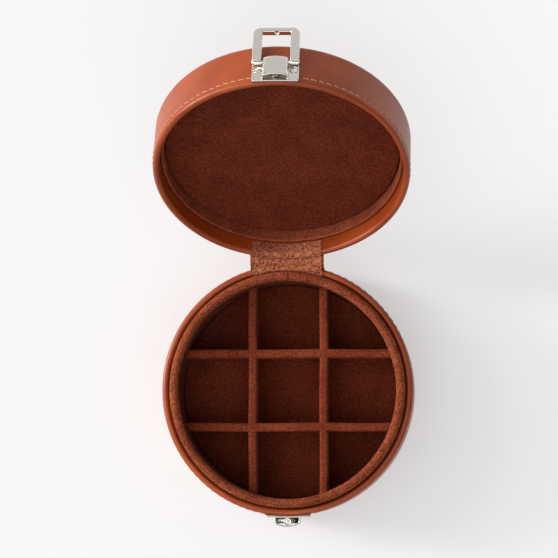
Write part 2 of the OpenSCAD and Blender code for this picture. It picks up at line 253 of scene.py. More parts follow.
# Grain: closed pebbles 0.7 mm across, with pores between them.
pebbles = node(leather_tree, "ShaderNodeTexVoronoi", {"feature": "SMOOTH_F1", "Scale": 1400, "Smoothness": 0.6},
               Vector=where)
creases = node(leather_tree, "ShaderNodeTexNoise", {"Scale": 380, "Detail": 6, "Roughness": 0.7}, Vector=where)
tan = node(leather_tree, "ShaderNodeValToRGB", Fac=clouds.outputs["Fac"])
tan.color_ramp.elements[0].position = 0.3
tan.color_ramp.elements[0].color = colour("#92370f")
tan.color_ramp.elements[1].position = 0.72
tan.color_ramp.elements[1].color = colour("#ac4c16")
pore = node(leather_tree, "ShaderNodeMix", {"data_type": "RGBA", "blend_type": "MULTIPLY", "Factor": 0.16})
leather_tree.links.new(tan.outputs["Color"], pore.inputs["A"])
leather_tree.links.new(pebbles.outputs["Distance"], pore.inputs["B"])
shine = node(leather_tree, "ShaderNodeMapRange", {"To Min": 0.34, "To Max": 0.5}, Value=creases.outputs["Fac"])
height = node(leather_tree, "ShaderNodeMath", {"operation": "MULTIPLY_ADD"})
height.inputs[1].default_value = 0.5
leather_tree.links.new(pebbles.outputs["Distance"], height.inputs[0])
leather_tree.links.new(creases.outputs["Fac"], height.inputs[2])
grain = node(leather_tree, "ShaderNodeBump", {"Strength": 0.3, "Distance": 0.00012},
             Height=height.outputs["Value"])
leather_tree.links.new(pore.outputs["Result"], leather.inputs["Base Color"])
leather_tree.links.new(shine.outputs["Result"], leather.inputs["Roughness"])
leather_tree.links.new(grain.outputs["Normal"], leather.inputs["Normal"])
leather.inputs["IOR"].default_value = 1.42
leather.inputs["Coat Weight"].default_value = 0.12
leather.inputs["Coat Roughness"].default_value = 0.32


def dress(piece, material, body, slot, *nodes):
    """Gives a piece its material and the body that it rides on, and hides the CAD nodes that it stands for. The
    slot is not used.
    """
    piece.data.materials.append(material)
    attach(piece, body)
    if nodes:
        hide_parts(*nodes)
    return piece


dress(base_leather, saddle, "base", "leather", "base_leather_wrap")


# ---- Suede ring, floor and wall of the base ----
# Brown suede over card. The ring is a card tube with a padded top, its ends butted at the back,
# and the floor is a soft pad that swells a little between the dividers.

ring_lo, ring_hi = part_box("base_ring_suede")
ring_ro = ring_hi.x / mm
ring_top = ring_hi.z / mm
ring_foot = ring_lo.z / mm
ring_w = 4.5
ring_mid = ring_ro - ring_w / 2
ring_ri = ring_mid - ring_w / 2
puff = 0.3
puff_depth = 8
suede_skin = 0.8
profile = np.concatenate([
    line((ring_ro, ring_foot), (ring_ro, ring_top - puff_depth), 12),
    line((ring_ro + puff, ring_top - puff_depth + 1.5), (ring_ro + puff, ring_top - ring_w / 2), 8),
    arc((ring_mid + puff / 2, ring_top - ring_w / 2), (ring_w + puff) / 2, 0, 180, 32)[1:-1],
    line((ring_ri, ring_top - ring_w / 2), (ring_ri, ring_foot), 40),
    line((ring_ri + suede_skin, ring_foot), (ring_ri + suede_skin, ring_top - 2), 4),
    line((ring_ro - suede_skin, ring_top - 2), (ring_ro - suede_skin, ring_foot), 4)])
ring = revolve(profile, 720)
around = np.linspace(0, 2 * np.pi, len(ring), endpoint=False)[:, None]
seam_at = np.pi / 2 - 0.014
seam = np.exp(-(((around - seam_at) * ring_mid) / 0.45) ** 2)
on_top = np.clip((ring[..., 2] - ring_top + ring_w) / ring_w, 0, 1)
ring[..., 2] += on_top * (0.09 * np.sin(5 * around + 0.4) + 0.06 * np.sin(13 * around) - 0.8 * seam)
suede_ring = grid_mesh("base_suede_ring", ring, True, True)


def suede_finish(name, dark, light, sheen, painted_light_heights=None, contrast=0.55):
    """Split suede, brushed: the colour is patch(dark to light) x fibre noise, and the fibres stand up as bump.
    Contrast is how far that noise swings about one. Where two heights are given, light and shade are painted into
    the colour:
    the suede is painted half as bright below the first as above the second, painted shade lower down and painted
    light on top."""
    made, tree, nap = new_material(name)
    where = node(tree, "ShaderNodeTexCoord").outputs["Object"]
    # Brushed patches about 17 mm across, where the nap lies one way or the other.
    brushed = node(tree, "ShaderNodeTexNoise", {"Scale": 60, "Detail": 5, "Distortion": 0.6}, Vector=where)
    # Tufts 1 mm across and fibres 0.4 mm apart, coarser than the real ones so that they show.
    tufts = node(tree, "ShaderNodeTexNoise", {"Scale": 950, "Detail": 3, "Roughness": 0.7}, Vector=where)
    fibres = node(tree, "ShaderNodeTexNoise", {"Scale": 2600, "Detail": 2, "Roughness": 0.7}, Vector=where)
    patch = node(tree, "ShaderNodeValToRGB", Fac=brushed.outputs["Fac"])
    patch.color_ramp.elements[0].position = 0.36
    patch.color_ramp.elements[0].color = colour(dark)
    patch.color_ramp.elements[1].position = 0.66
    patch.color_ramp.elements[1].color = colour(light)
    pile = node(tree, "ShaderNodeMath", {"operation": "ADD"})
    tree.links.new(tufts.outputs["Fac"], pile.inputs[0])
    tree.links.new(fibres.outputs["Fac"], pile.inputs[1])
    fleck = node(tree, "ShaderNodeMapRange", {"From Min": 0.84, "From Max": 1.16, "To Min": 1.03 - contrast,
                                              "To Max": 1.03 + contrast}, Value=pile.outputs["Value"])
    speckled = node(tree, "ShaderNodeVectorMath", {"operation": "SCALE"}, Scale=fleck.outputs["Result"])
    tree.links.new(patch.outputs["Color"], speckled.inputs[0])
    shown = speckled.outputs["Vector"]
    # Painted light and shade: darker down the inner side, lighter over the top.
    if painted_light_heights:
        height = node(tree, "ShaderNodeSeparateXYZ", Vector=where)
        lit = node(tree, "ShaderNodeMapRange", {"From Min": painted_light_heights[0] * mm, "From Max": painted_light_heights[1] * mm,
                                                "To Min": 0.5, "To Max": 1.1}, Value=height.outputs["Z"])
        edge = node(tree, "ShaderNodeVectorMath", {"operation": "SCALE"}, Scale=lit.outputs["Result"])
        tree.links.new(shown, edge.inputs[0])
        shown = edge.outputs["Vector"]
    raised = node(tree, "ShaderNodeBump", {"Strength": 0.8, "Distance": 0.0004}, Height=pile.outputs["Value"])
    tree.links.new(shown, nap.inputs["Base Color"])
    tree.links.new(raised.outputs["Normal"], nap.inputs["Normal"])
    nap.inputs["Roughness"].default_value = 0.95
    nap.inputs["Specular IOR Level"].default_value = 0.12
    nap.inputs["Sheen Weight"].default_value = sheen
    nap.inputs["Sheen Roughness"].default_value = 0.35
    nap.inputs["Sheen Tint"].default_value = colour("#d88a66")
    return made


lining_suede = suede_finish("brown_suede_lining", "#632817", "#6f2f1b", 0.08)
# The ring's suede is a lighter copy of the lining suede, with painted sheen on its padded top. Below the first
# height it is painted shade, above the second painted light.
ring_suede = suede_finish("brown_suede_ring_painted_sheen", "#74341f", "#8a452b", 0.1,
                          (ring_top - 5, ring_top - 1.5), 0.75)
dress(suede_ring, ring_suede, "base", "suede", "base_ring_suede")

pad_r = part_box("base_floor_pad")[1].x / mm
pad_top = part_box("base_floor_pad")[1].z / mm
pad_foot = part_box("base_floor_pad")[0].z / mm
divider_x = sum(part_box("divider_right")[i].x for i in (0, 1)) / 2 / mm
divider_y = sum(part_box("divider_back")[i].y for i in (0, 1)) / 2 / mm


def pad_points(radius, foot, top, edge, count=144):
    """A disc in polar rings: under it, up its side, round an edge of quarter circle and over its face to the
    middle."""
    rings = np.concatenate([
        line((0.5, foot), (radius, foot), 6), line((radius, foot), (radius, top - edge), 3)[1:],
        arc((radius - edge, top - edge), edge, 0, 90, 8)[1:], line((radius - edge, top), (0.5, top), 44)[1:]])
    return revolve(rings, count)


def puffed(piece, held, furthest):
    """Runs the pad as cloth blown up from inside for twenty frames, still where it is held. Every point then
    keeps its move x min(1, furthest / longest move), so the pad's form is kept and its size is limited."""
    grip = piece.vertex_groups.new(name="held")
    grip.add(np.flatnonzero(held.reshape(-1)).tolist(), 1.0, "REPLACE")
    cloth = piece.modifiers.new("filling", "CLOTH")
    cloth.settings.quality = 4
    cloth.settings.mass = 0.2
    cloth.settings.use_pressure = True
    cloth.settings.uniform_pressure_force = 9
    cloth.settings.effector_weights.gravity = 0
    cloth.settings.vertex_group_mass = "held"
    last_frame = 20
    cloth.point_cache.frame_start, cloth.point_cache.frame_end = 1, last_frame
    for frame_number in range(1, last_frame + 1):
        bpy.context.scene.frame_set(frame_number)
    blown = piece.evaluated_get(bpy.context.evaluated_depsgraph_get()).data
    size = len(piece.data.vertices) * 3
    rest, full = np.zeros(size, "f"), np.zeros(size, "f")
    piece.data.vertices.foreach_get("co", rest)
    blown.vertices.foreach_get("co", full)
    piece.modifiers.remove(cloth)
    piece.vertex_groups.remove(grip)
    bpy.context.scene.frame_set(1)
    move = (full - rest).reshape(-1, 3)
    longest = np.linalg.norm(move, axis=1).max()
    move *= min(1, furthest * mm / max(longest, 1e-9))
    piece.data.vertices.foreach_set("co", rest + move.reshape(-1))
    piece.data.update()


floor = pad_points(pad_r, pad_foot, pad_top, 1.0)
to_divider = np.minimum(np.abs(np.abs(floor[..., 0]) - divider_x), np.abs(np.abs(floor[..., 1]) - divider_y))
to_wall = pad_r - np.hypot(floor[..., 0], floor[..., 1])
upper = floor[..., 2] > pad_top - 0.9
sink = 0.4 * np.exp(-(np.minimum(to_divider, to_wall) / 3.0) ** 2)
floor[..., 2] -= np.where(upper, sink, 0)
floor_pad = grid_mesh("base_floor_suede", floor, True, False)
puffed(floor_pad, ~upper | (to_divider < 2.2) | (to_wall < 1.2), 0.7)
dress(floor_pad, lining_suede, "base", "suede", "base_floor_pad")


# ---- Dividers ----
# Card strips wrapped in the same suede and halved into each other. The two running left to right
# stand 0.3 mm higher, so that their suede passes over the other two.

def bar_section(width, height, corner, count=7):
    """Outline of an upright bar, from its foot up, over its two rounded top corners and down."""
    return np.concatenate([
        line((width / 2, 0), (width / 2, height - corner), 10),
        arc((width / 2 - corner, height - corner), corner, 0, 90, count)[1:],
        arc((-width / 2 + corner, height - corner), corner, 90, 180, count),
        line((-width / 2, height - corner), (-width / 2, 0), 10)[1:]])


def divider(name, lower, corner=1.3):
    """A bar section carried along the divider. At t from -1 to 1 and a distance a across, the length is
    t sqrt(R^2 - a^2), so the ends fit the round wall. The top rises and falls a little on its card."""
    lo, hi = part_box(name)
    size = np.array(hi - lo) / mm
    middle = np.array(hi + lo) / 2 / mm
    lengthwise = 0 if size[0] > size[1] else 1
    section = bar_section(size[1 - lengthwise], size[2] - lower, corner)
    t = np.sin(np.linspace(-np.pi / 2, np.pi / 2, 120))[:, None]
    across = section[None, :, 0] + middle[1 - lengthwise] + 0 * t
    along = t * np.sqrt((ring_ri - 0.05) ** 2 - across ** 2)
    sway = 0.14 * np.sin(along / 9 + middle[1 - lengthwise]) * section[None, :, 1] / size[2]
    rise = section[None, :, 1] + 0.08 * np.sin(along / 6) * (section[None, :, 1] > size[2] / 2)
    points = np.zeros((*across.shape, 3))
    points[..., lengthwise] = along
    points[..., 1 - lengthwise] = across + sway
    points[..., 2] = rise + lo.z / mm
    if lengthwise == 1:
        points = points[:, ::-1]
    bar = grid_mesh(name + "_suede", points, False, True)
    dress(bar, divider_suede, "base", "suede", name)


divider_suede = suede_finish("brown_suede_dividers", "#712e19", "#823b23", 0.1)
divider("divider_front", 0)
divider("divider_back", 0)
divider("divider_left", 0.3)
divider("divider_right", 0.3)


# ---- Stitching ----
# One row of waxed tan thread round each rim, a stitch every four millimetres.
# Each stitch is a short proud bar with its ends pulled into the leather.

stitch_pitch = 4.0
stitch_len = 3.1
thread_r = 0.26


def stitch_row(height, keep_front, keep_back, slant):
    """Stitches as grids: a small ring of thread carried along a short arc that dips at both ends. None is
    nearer the middle than keep_front at the latch and keep_back at the strap. Each rises anticlockwise by
    a slant of 1, or falls by one of -1."""
    count = round(2 * math.pi * case_r / stitch_pitch)
    middle = (np.arange(count) + 0.5) * 2 * np.pi / count
    side = np.abs(case_r * np.cos(middle))
    middle = middle[side > np.where(np.sin(middle) < 0, keep_front, keep_back)]
    s = np.linspace(-1, 1, 9)
    ring_angle = np.linspace(0, 2 * np.pi, 8, endpoint=False)
    a = middle[:, None, None] + s[None, :, None] * stitch_len / 2 / case_r
    out = case_r - 0.14 + 0.18 * (1 - s ** 4)[None, :, None]
    thick = thread_r * (1 - 0.5 * s ** 6)[None, :, None]
    r = out + thick * np.cos(ring_angle)[None, None, :]
    z = height + slant * 0.18 * s[None, :, None] + thick * np.sin(ring_angle)[None, None, :] + 0 * a
    return np.stack([r * np.cos(a), r * np.sin(a), z], axis=-1)


def stitch_mesh(name, rows):
    """One mesh of many closed little tubes."""
    n, nu, nv = rows.shape[:3]
    u, v = np.meshgrid(np.arange(nu - 1), np.arange(nv), indexing="ij")
    quad = np.stack([u * nv + v, u * nv + (v + 1) % nv, (u + 1) * nv + (v + 1) % nv, (u + 1) * nv + v], axis=-1)
    faces = (quad.reshape(1, -1, 4) + (np.arange(n) * nu * nv)[:, None, None]).reshape(-1, 4).tolist()
    first = np.arange(nv)[None, :] + (np.arange(n) * nu * nv)[:, None]
    faces += first[:, ::-1].tolist() + (first + (nu - 1) * nv).tolist()
    return mesh_piece(name, rows, faces)


latch_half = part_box("catch_plate")[1].x / mm
strap_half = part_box("hinge_strap_outer")[1].x / mm
base_row = stitch_row(base_top - stitch_drop, latch_half + 0.6, strap_half + 1, 1)
base_stitches = stitch_mesh("base_stitching_thread", base_row)

thread, thread_tree, ply = new_material("waxed_linen_thread")
where = node(thread_tree, "ShaderNodeTexCoord").outputs["Object"]
# The three plies of the thread cross it about every 0.6 mm.
twist = node(thread_tree, "ShaderNodeTexWave", {"Scale": 520, "bands_direction": "DIAGONAL"}, Vector=where)
wax = node(thread_tree, "ShaderNodeValToRGB", Fac=twist.outputs["Fac"])
wax.color_ramp.elements[0].color = colour("#b87a58")
wax.color_ramp.elements[1].color = colour("#e4ad8a")
ridges = node(thread_tree, "ShaderNodeBump", {"Strength": 0.5, "Distance": 0.0001}, Height=twist.outputs["Fac"])
thread_tree.links.new(wax.outputs["Color"], ply.inputs["Base Color"])
thread_tree.links.new(ridges.outputs["Normal"], ply.inputs["Normal"])
ply.inputs["Roughness"].default_value = 0.6
dress(base_stitches, thread, "base", "thread", "base_stitching")


# ---- Lid leather ----
# The same hide on the lid: a side band rolled over the rim and turned in as the band seen inside,
# and a crown edge rolled over wadding, with the top laid inside it.

joints = {j["name"]: j for j in frame["record"]["behaviour"]["joints"]}
hinge = np.array(joints["lid_hinge"]["pos_m"]) / mm
lid_angle = joints["lid_hinge"]["range_deg"][1]


def swing(points, pivot, degrees):
    """Points turned about a line along X through the pivot: right-handed, in degrees."""
    a = math.radians(degrees)
    y, z = points[..., 1] - pivot[1], points[..., 2] - pivot[2]
    return np.stack([points[..., 0], pivot[1] + y * math.cos(a) - z * math.sin(a),
                     pivot[2] + y * math.sin(a) + z * math.cos(a)], axis=-1)


def on_lid(points):
    """Points drawn on the shut lid, swung to where it stands open."""
    return swing(points, hinge, -lid_angle)


lid_z = 2 * hinge[2] - base_top
lid_h = 26.5
lid_top = lid_z + lid_h
crown_r = 3.5
crown_x = case_r - crown_r
crown_z = lid_top - crown_r
band_depth = 8.6
wall = line((case_r, lid_z + rim_r), (case_r, crown_z), 64)
wall[:, 0] -= stitch_groove(wall[:, 1], lid_z + stitch_drop)
profile = np.concatenate([
    wall, arc((crown_x, crown_z), crown_r, 0, 84, 16)[1:], arc((crown_x, crown_z), crown_r - hide, 84, 0, 8),
    line((case_r - hide, crown_z - 1), (case_r - hide, lid_z + hide), 4),
    line((board_r, lid_z + hide), (board_r, lid_z + band_depth + 1), 4),
    line((inner_r, lid_z + band_depth + 1), (inner_r, lid_z + rim_r), 10),
    arc((case_r - rim_r, lid_z + rim_r), rim_r, 180, 360, 24)[1:-1]])
shell = revolve(profile)
around = np.linspace(0, 2 * np.pi, len(shell), endpoint=False)[:, None]
lift = np.clip(1 - (shell[..., 2] - lid_z) / 6, 0, 1)
shell[..., 2] += lift * 0.06 * (np.sin(3 * around + 4) + np.sin(8 * around))
lid_side = grid_mesh("lid_leather_band", on_lid(shell), True, True)
dress(lid_side, saddle, "lid", "leather", "lid_leather_side")

top_r = crown_x + 0.15
profile = np.concatenate([
    line((0.4, lid_top - hide), (top_r - 0.3, lid_top - hide), 8),
    arc((top_r - 0.5, lid_top - 0.5), 0.5, -70, 90, 8), line((top_r - 0.6, lid_top), (0.4, lid_top), 60)])
profile[:, 1] += np.where(profile[:, 1] > lid_top - 0.6, 0.5 * (1 - (profile[:, 0] / top_r) ** 2), 0)
lid_crown = grid_mesh("lid_leather_crown", on_lid(revolve(profile)), True, False)
dress(lid_crown, saddle, "lid", "leather", "lid_leather_top")

lid_row = stitch_row(lid_z + stitch_drop, latch_half + 0.6, strap_half + 1, -1)
lid_stitches = stitch_mesh("lid_stitching_thread", on_lid(lid_row))
dress(lid_stitches, thread, "lid", "thread", "lid_stitching")


# ---- Lid lining ----
# A suede-covered card ring stands inside the leather band and holds a round suede pad
# over foam, whose edge rolls down against the ring.

liner_t = 1.5
liner_ro = inner_r - 0.2
liner_ri = liner_ro - liner_t
liner_foot = lid_z + 22
liner_edge = lid_z + band_depth + liner_t / 2
profile = np.concatenate([
    line((liner_ri, liner_foot), (liner_ri, liner_edge), 30),
    arc(((liner_ro + liner_ri) / 2, liner_edge), liner_t / 2, 180, 360, 12)[1:-1],
    line((liner_ro, liner_edge), (liner_ro, liner_foot), 4)])
profile[:30, 0] += 0.25 * np.sin(np.linspace(0, np.pi, 30))
liner = revolve(profile, 384)
around = np.linspace(0, 2 * np.pi, len(liner), endpoint=False)[:, None]
liner[..., 2] += 0.08 * np.sin(6 * around) + 0.05 * np.sin(15 * around + 1)
liner_suede = suede_finish("brown_suede_liner", "#8a4128", "#a05237", 0.15)
lid_liner = grid_mesh("lid_suede_ring", on_lid(liner), True, True)
dress(lid_liner, liner_suede, "lid", "suede", "lid_liner_ring")

lid_pad_face = lid_z + 14.7
lid_pad_t = 4
# The disc is drawn face up and turned over about X.
disc = pad_points(liner_ri - 0.1, -(lid_pad_face + lid_pad_t), -lid_pad_face, 1.4)
r = np.hypot(disc[..., 0], disc[..., 1])
turned = np.arctan2(disc[..., 1], disc[..., 0])
face = disc[..., 2] > -lid_pad_face - 1.5
swell = 0.1 * (1 - (r / liner_ri) ** 2) + 0.07 * np.sin(2 * turned + 0.6) * (r / liner_ri) ** 2
disc[..., 2] += np.where(face, swell, 0)
disc[..., 1:] *= -1
lid_pad = grid_mesh("lid_suede_pad", on_lid(disc), True, False)
puffed(lid_pad, ~face | (r > liner_ri - 1.2), 1.3)
dress(lid_pad, lining_suede, "lid", "suede", "lid_pad")


# ---- Hinge ----
# A leather strap glued up the back of both walls, lined over the rims with a strip of suede.
# The strip is pulled up short, and that is what holds the lid open.

strap_leg = 12.8
strap_t = 0.9
strap_off = 0.03
strip_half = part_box("hinge_strip_inner")[1].x / mm
strip_t = 0.38
strip_off = 0.05


def round_y(radius, x):
    """Where a circle about the origin stands at x."""
    return np.sqrt(radius ** 2 - x ** 2)


def mirrored(half_line):
    """A side view on the base, mirrored in the rim plane, swung open with the lid and run the other way."""
    flipped = half_line[::-1].copy()
    flipped[:, 1] = 2 * hinge[2] - flipped[:, 1]
    full = np.column_stack([np.zeros(len(flipped)), flipped])
    return on_lid(full)[:, 1:]


def fold_radius(x):
    """Radius of the fold about the hinge line: the wall's distance at the middle, and 0.3 of what that
    distance grows by towards the sides."""
    near = hinge[1] - case_r
    return near + 0.3 * (hinge[1] - round_y(case_r, x) - near)


def strap_line(x, off):
    """Side view of the strap: up the wall, over the fold about the hinge line and down the lid's wall."""
    y = round_y(case_r, x) + off
    leg = line((y, hinge[2] - strap_leg), (y, hinge[2] - 0.8), 14)
    fold = arc(hinge[1:], fold_radius(x) - off, 180, 180 - lid_angle, 26)
    return np.concatenate([leg, fold, mirrored(leg)])


def strip_line(x, off):
    """Side view of the strip: out of the base, over its rim, over the fold and into the lid. It dips a little
    behind the base's rim and deeper behind the lid's, where it is pressed down between the rim and the fold."""
    halves = []
    for wrap_end in (70, 34):
        over = arc((case_r - rim_r, base_top - rim_r), rim_r + off, 180, wrap_end, 14)
        leg = line((inner_r - off, base_top - band_depth + 0.5), (inner_r - off, base_top - rim_r - 0.2), 12)
        half_line = np.concatenate([leg, over])
        halves.append(np.column_stack([round_y(half_line[:, 0], x), half_line[:, 1]]))
    gap = 46
    fold = arc(hinge[1:], fold_radius(x) + off, 180 - gap, 180 - lid_angle + gap, 10)
    return np.concatenate([halves[0], fold, mirrored(halves[1])])


def eased(path, passes):
    """A side view smoothed by moving every inner point halfway to the mean of its neighbours."""
    for _ in range(passes):
        path[..., 1:-1, :] = (path[..., :-2, :] + 2 * path[..., 1:-1, :] + path[..., 2:, :]) / 4
    return path


def sheet(name, half_width, side_view, low, high, passes, columns=41):
    """Closed sheet between two offsets of a side view: a ring round its section at each step along it."""
    xs = half_width * np.sin(np.linspace(-np.pi / 2, np.pi / 2, columns))
    under = eased(np.array([side_view(x, low) for x in xs]), passes)
    over = eased(np.array([side_view(x, high) for x in xs]), passes)
    lower = np.dstack([np.repeat(xs[:, None], under.shape[1], axis=1), under])
    upper = np.dstack([np.repeat(xs[:, None], over.shape[1], axis=1), over])
    loop = np.concatenate([lower, upper[::-1]], axis=0)
    return grid_mesh(name, loop.transpose(1, 0, 2), False, True)


strap = sheet("hinge_leather_strap", strap_half, strap_line, strap_off, strap_off + strap_t, 2)
strip = sheet("hinge_suede_strip", strip_half, strip_line, strip_off, strip_off + strip_t, 1)
# The strip's suede is a lighter copy of the lining suede: painted sheen where it runs over the rounded rims.
strip_suede = suede_finish("brown_suede_strip_painted_sheen", "#98533a", "#ad6648", 0.24, contrast=0.9)
for piece, material, slot, cad in ((strap, saddle, "leather", "hinge_strap_outer"),
                                   (strip, strip_suede, "suede", "hinge_strip_inner")):
    piece.data.materials.append(material)
    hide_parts(cad)
    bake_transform(piece)


# ---- Nickel fittings ----
# Pressed and cast zinc, plated with bright nickel: warm, mirror-like, with the faint
# haze and hairline scratches of handling.

nickel, nickel_tree, plate_metal = new_material("polished_nickel")
where = node(nickel_tree, "ShaderNodeTexCoord").outputs["Object"]
stretch = node(nickel_tree, "ShaderNodeMapping", {"Scale": (1, 9, 9)}, Vector=where)
hairlines = node(nickel_tree, "ShaderNodeTexNoise", {"Scale": 700, "Detail": 5}, Vector=stretch.outputs["Vector"])
haze = node(nickel_tree, "ShaderNodeTexNoise", {"Scale": 160, "Detail": 3}, Vector=where)
polish = node(nickel_tree, "ShaderNodeMapRange", {"To Min": 0.12, "To Max": 0.24}, Value=haze.outputs["Fac"])
fine = node(nickel_tree, "ShaderNodeBump", {"Strength": 0.08, "Distance": 0.00003},
            Height=hairlines.outputs["Fac"])
nickel_tree.links.new(polish.outputs["Result"], plate_metal.inputs["Roughness"])
nickel_tree.links.new(fine.outputs["Normal"], plate_metal.inputs["Normal"])
plate_metal.inputs["Base Color"].default_value = colour("#e8e3db")
plate_metal.inputs["Metallic"].default_value = 1.0

plate_out = 0.9
plate_h = 10.5
hood_w = 13.2
sheet_t = 0.8
bow = 1.4


def rounded_outline(half_w, low, high, corner, count=8):
    """Closed outline of an upright rectangle with round corners, anticlockwise from the right."""
    x, lo, hi = half_w - corner, low + corner, high - corner
    return np.concatenate([
        line((half_w, lo), (half_w, hi), 10), arc((x, hi), corner, 0, 90, count)[1:],
        line((x, high), (-x, high), 24)[1:], arc((-x, hi), corner, 90, 180, count)[1:],
        line((-half_w, hi), (-half_w, lo), 10)[1:], arc((-x, lo), corner, 180, 270, count)[1:],
        line((-x, low), (x, low), 24)[1:], arc((x, lo), corner, 270, 360, count)[1:-1]])


def latch_plate(z, holes):
    """A plate whose back follows the round wall: its outline is carried out to a flat front, rounded at
    the edge, and drawn in to the middle of the front, which dips in a cone round each screw hole."""
    outline = rounded_outline(latch_half, z, z + plate_h, 0.9)
    middle = np.array([0, z + plate_h / 2])
    bevel = 0.35
    steps = np.radians(np.linspace(0, 90, 6))
    inset = np.concatenate([[bevel, 0, 0], bevel * (1 - np.cos(steps))[1:]])
    out = np.concatenate([[-0.1, 0.0, plate_out - bevel], (plate_out - bevel + bevel * np.sin(steps))[1:]])
    half_size = np.array([latch_half, plate_h / 2])
    rim = middle + (outline - middle)[None] * ((half_size - inset[:, None]) / half_size)[:, None]
    rim_y = np.where(np.arange(len(out))[:, None] < 2, round_y(case_r, rim[..., 0]), case_r + out[:, None])
    share = np.linspace(0.985, 0.01, 70)[:, None, None]
    face = middle + (outline - middle)[None] * share * (half_size - bevel) / half_size
    to_hole = np.min([np.hypot(face[..., 0] - x, face[..., 1] - h) for x, h in holes], axis=0)
    cone_r, cone_depth, cone_width = 2.25, 0.55, 0.5
    face_y = case_r + plate_out - cone_depth * np.clip((cone_r - to_hole) / cone_width, 0, 1)
    flat = np.concatenate([rim, face])
    return np.stack([flat[..., 0], -np.concatenate([rim_y, face_y]), flat[..., 1]], axis=-1)


catch_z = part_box("catch_plate")[0].z / mm
screw_x = 9
catch_holes = [(-screw_x, catch_z + plate_h - 5.2), (screw_x, catch_z + plate_h - 5.2)]
hasp_holes = [(-screw_x, lid_z + 7.2), (screw_x, lid_z + 7.2), (0, lid_z + 2.8)]
catch_plate = grid_mesh("catch_plate_nickel", latch_plate(catch_z, catch_holes)[:, ::-1], False, True)
dress(catch_plate, nickel, "base", "nickel", "catch_plate")
hasp_plate = grid_mesh("hasp_plate_nickel", on_lid(latch_plate(lid_z + 0.2, hasp_holes))[:, ::-1], False, True)
dress(hasp_plate, nickel, "lid", "nickel", "hasp_plate")


def bent_hood(out, z, height):
    """A strip bent to a U and bowed at the front: its rounded section is carried along the bend."""
    half_w, corner = hood_w / 2 - sheet_t / 2, 0.9
    bow_r = (half_w ** 2 + bow ** 2) / (2 * bow)
    front_y = case_r + out - sheet_t / 2
    shoulder = front_y - bow
    centre = (0, front_y - bow_r)
    reach = math.degrees(math.asin((half_w - 0.5 * corner) / bow_r))
    right = line((half_w, case_r + plate_out - 0.1), (half_w, shoulder - corner * 0.8), 8)
    front = arc(centre, bow_r, 90 - reach, 90 + reach, 40)
    path = np.concatenate([right, front, right[::-1] * [-1, 1]])
    path = eased(path[None], 3)[0]
    ahead = np.gradient(path, axis=0)
    ahead /= np.linalg.norm(ahead, axis=1)[:, None]
    side = np.column_stack([ahead[:, 1], -ahead[:, 0]])
    section = rounded_outline(sheet_t / 2, 0, height, 0.25, 5)
    points = path[:, None, :] + side[:, None, :] * section[None, :, :1]
    up = np.broadcast_to(z + section[:, 1], points.shape[:2])
    return np.stack([points[..., 0], -points[..., 1], up], axis=-1)


hood_lo, hood_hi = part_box("catch_hood")
hood_out = -hood_lo.y / mm - case_r
hood = grid_mesh("catch_hood_nickel", bent_hood(hood_out, hood_lo.z / mm, (hood_hi.z - hood_lo.z) / mm),
                 False, True)
dress(hood, nickel, "base", "nickel", "catch_hood")
floor_line = rounded_outline(hood_w / 2 - sheet_t, case_r + plate_out - 0.1, case_r + hood_out - 1.9, 0.6)
floor_ring = np.column_stack([floor_line[:, 0], -floor_line[:, 1]])
levels = hood_lo.z / mm + np.array([0.1, 0.5])
hood_floor = np.concatenate([np.broadcast_to(floor_ring, (2, *floor_ring.shape)),
                             np.broadcast_to(levels[:, None, None], (2, len(floor_ring), 1))], axis=-1)
hood_base = grid_mesh("catch_hood_floor", hood_floor, False, True)
dress(hood_base, nickel, "base", "nickel")
bridge_out = 5.2
bridge_h = 12
bridge = grid_mesh("hasp_bridge_nickel", on_lid(bent_hood(bridge_out, lid_z + 0.8, bridge_h)), False, True)
dress(bridge, nickel, "lid", "nickel", "hasp_bridge")


def turned(profile, centre, axis, count=48):
    """A profile of (radius, distance) turned about a line through the centre along X, Y or Z."""
    spun = revolve(profile, count)
    order = {"x": (2, 0, 1), "y": (1, 2, 0), "z": (0, 1, 2)}[axis]
    return spun[..., order] + np.array(centre)


barrel_y = sum(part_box("catch_barrel")[i].y for i in (0, 1)) / 2 / mm
barrel_lo, barrel_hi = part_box("catch_barrel")[0].z / mm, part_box("catch_barrel")[1].z / mm
barrel_r, barrel_bore, mouth_r, barrel_edge = 2.0, 1.3, 0.95, 0.2
profile = np.concatenate([
    line((mouth_r, barrel_lo), (barrel_r - barrel_edge, barrel_lo), 3),
    arc((barrel_r - barrel_edge, barrel_lo + barrel_edge), barrel_edge, -90, 0, 4)[1:],
    arc((barrel_r - barrel_edge, barrel_hi - barrel_edge), barrel_edge, 0, 90, 6),
    arc((barrel_bore + barrel_edge, barrel_hi - barrel_edge), barrel_edge, 90, 180, 6)[1:],
    line((barrel_bore, barrel_hi - 0.8), (0.02, barrel_hi - 0.7), 6)])
barrel = grid_mesh("catch_barrel_nickel", turned(profile, (0, barrel_y, 0), "z"), True, False)
dress(barrel, nickel, "base", "nickel", "catch_barrel")

plunger_lo, plunger_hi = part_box("catch_plunger")[0].z / mm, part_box("catch_plunger")[1].z / mm
plunger_r, nose_r, flange_t, flange_edge = 1.1, 0.85, 1.4, 0.05
flange_lo = plunger_hi - flange_t
profile = np.concatenate([
    arc((0, plunger_lo + nose_r), nose_r, -88, 0, 10),
    line((nose_r, flange_lo), (plunger_r - flange_edge, flange_lo), 3),
    line((plunger_r, flange_lo + flange_edge), (plunger_r, plunger_hi - flange_edge), 3),
    line((plunger_r - flange_edge, plunger_hi), (0.02, plunger_hi), 3)])
plunger = grid_mesh("catch_plunger_nickel", turned(profile, (0, barrel_y, 0), "z", 32), True, False)
dress(plunger, nickel, "plunger", "nickel", "catch_plunger")
